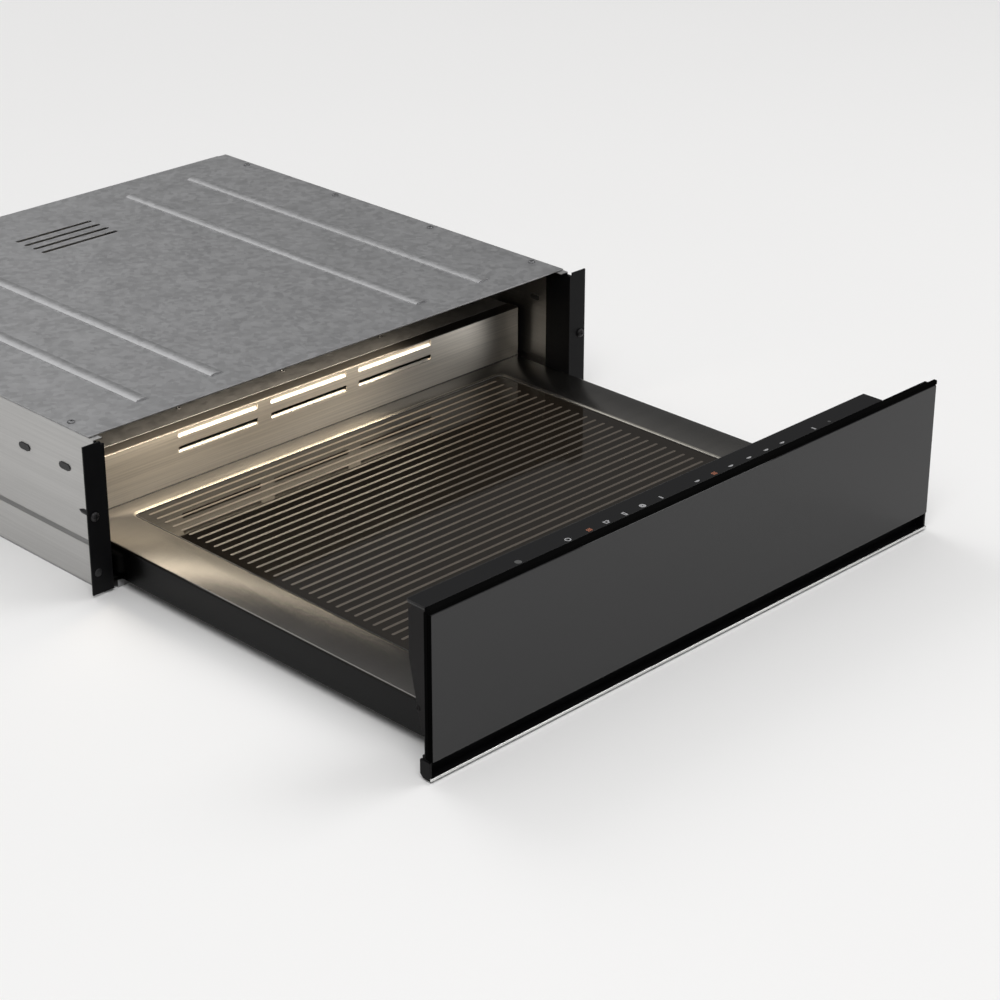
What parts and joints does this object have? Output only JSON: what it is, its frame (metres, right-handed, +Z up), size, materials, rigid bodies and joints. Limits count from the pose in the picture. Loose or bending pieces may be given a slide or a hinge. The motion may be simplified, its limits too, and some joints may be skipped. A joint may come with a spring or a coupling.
{
  "type": "built in warming drawer",
  "caption": "Low built in warming drawer, pulled open: folded steel drawer with a striped heated glass shelf, slotted rear wall, touch control strip and dark glass front, on telescopic runners",
  "frame": {"origin": "middle of the casing's underside, where it rests on the niche floor", "axes": "+X to the right seen from the room, +Y into the cabinet, +Z up; the drawer slides out along -Y"},
  "size_m": [0.5924, 0.9349, 0.1412],
  "materials": {
    "stainless": "satin",
    "galvanised": "matte",
    "black_paint": "satin",
    "dark_steel": "satin",
    "front_glass": "gloss",
    "black_glass": "gloss",
    "floor_glass": "gloss",
    "polished_steel": "polished",
    "aluminium": "satin",
    "black_plastic": "matte",
    "grey_plastic": "matte",
    "silicone": "matte",
    "mineral_board": "matte",
    "circuit_board": "satin",
    "light": "satin",
    "copper": "satin",
    "heater_steel": "satin"
  },
  "bodies": {
    "casing": {"casing_base": "galvanised", "casing_side_left": "stainless", "casing_side_right": "stainless", "casing_roof": "galvanised", "casing_back": "galvanised", "front_flange_left": "black_paint", "front_flange_right": "black_paint", "fixing_screw_left": "dark_steel", "fixing_screw_right": "dark_steel", "side_guide_left": "grey_plastic", "side_guide_right": "grey_plastic", "runner_support_left": "galvanised", "runner_support_right": "galvanised", "runner_outer_left": "galvanised", "runner_outer_right": "galvanised", "terminal_box": "black_plastic", "cable_gland": "black_plastic", "push_latch_body": "black_plastic", "loom_socket_casing": "grey_plastic"},
    "drawer": {"runner_inner_left": "galvanised", "runner_inner_right": "galvanised", "drawer_rim": "stainless", "glass_floor": "floor_glass", "heater_mat": "silicone", "insulation_board": "mineral_board", "drawer_tray": "galvanised", "floor_sensor": "aluminium", "safety_thermostat": "aluminium", "rear_wall": "stainless", "rear_box": "galvanised", "rear_box_lid": "galvanised", "fan_housing": "galvanised", "fan_motor": "copper", "fan_bearing": "black_plastic", "air_heater": "heater_steel", "light_profile": "aluminium", "light_diffuser": "light", "latch_striker": "galvanised", "loom_socket_drawer": "grey_plastic", "front_glass": "front_glass", "front_carrier": "black_paint", "front_top_trim": "black_paint", "control_glass": "black_glass", "control_housing": "black_plastic", "control_board": "circuit_board", "front_inner_panel": "dark_steel", "grip_profile": "black_paint", "grip_lip": "polished_steel", "grip_cap_left": "black_paint", "grip_cap_right": "black_paint", "front_bracket_left": "dark_steel", "front_bracket_right": "dark_steel"},
    "runner_middle_left": {"runner_middle_left": "galvanised"},
    "runner_middle_right": {"runner_middle_right": "galvanised"},
    "fan": {"fan_rotor": "aluminium"},
    "plunger": {"push_latch_plunger": "grey_plastic"}
  },
  "joints": [
    {"name": "drawer_slide", "type": "slide", "parent": "casing", "child": "drawer", "axis": [0, -1, 0], "range_m": [-0.392, 0.011]},
    {"name": "runner_middle_left_slide", "type": "slide", "parent": "casing", "child": "runner_middle_left", "axis": [0, -1, 0], "range_m": [-0.196, 0.0055]},
    {"name": "runner_middle_right_slide", "type": "slide", "parent": "casing", "child": "runner_middle_right", "axis": [0, -1, 0], "range_m": [-0.196, 0.0055]},
    {"name": "fan_spin", "type": "hinge", "parent": "drawer", "child": "fan", "pos_m": [-0.102, -0.169, 0.033], "axis": [1, 0, 0], "continuous": true},
    {"name": "latch_plunger_slide", "type": "slide", "parent": "casing", "child": "plunger", "axis": [0, 1, 0], "range_m": [0, 0.012], "stiffness_N_per_m": 400}
  ],
  "couplings": [
    {"joint": "runner_middle_left_slide", "follows": "drawer_slide", "ratio": 0.5},
    {"joint": "runner_middle_right_slide", "follows": "drawer_slide", "ratio": 0.5}
  ]
}
